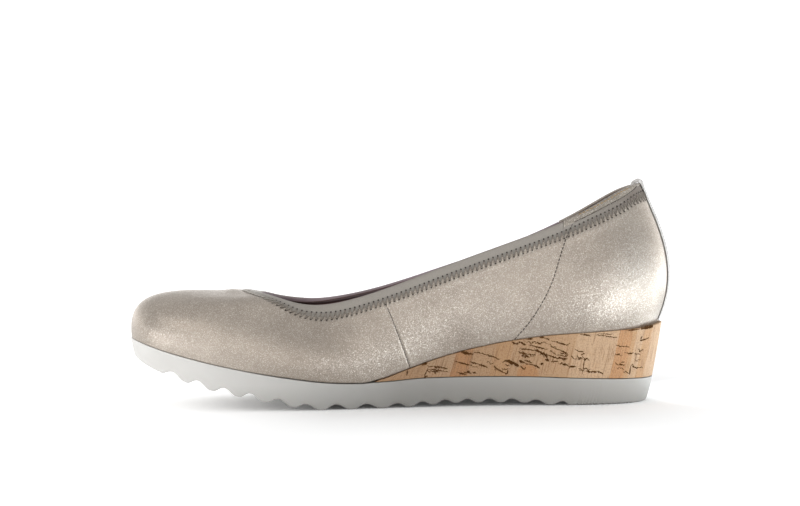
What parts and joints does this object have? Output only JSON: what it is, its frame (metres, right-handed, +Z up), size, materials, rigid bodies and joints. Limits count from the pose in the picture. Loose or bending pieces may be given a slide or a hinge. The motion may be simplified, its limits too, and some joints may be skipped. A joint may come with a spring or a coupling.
{
  "type": "ballet pump on a low cork wedge",
  "caption": "Slip-on ballet pump with a low round throat, elasticated topline, cork-covered wedge and wavy moulded rubber outsole.",
  "frame": {"origin": "on the floor, under the middle of the shoe's bounding box", "axes": "toe towards -X, inner side of the foot towards -Y, +Z up"},
  "size_m": [0.2504, 0.083, 0.1029],
  "materials": {
    "outsole_rubber": "matt moulded, pale warm grey",
    "cork": "natural cork veneer with dark fissures",
    "lining_leather": "smooth taupe lining",
    "upper_leather": "metallic champagne suede",
    "binding": "smooth grey taupe elastic binding",
    "collar_leather": "metallic champagne suede",
    "strap_leather": "pale champagne leather"
  },
  "bodies": {
    "root": {"outsole": "outsole_rubber", "wedge": "cork", "insole": "lining_leather", "upper": "upper_leather", "topline_binding": "binding", "heel_collar": "collar_leather", "back_strap": "strap_leather"}
  },
  "joints": []
}
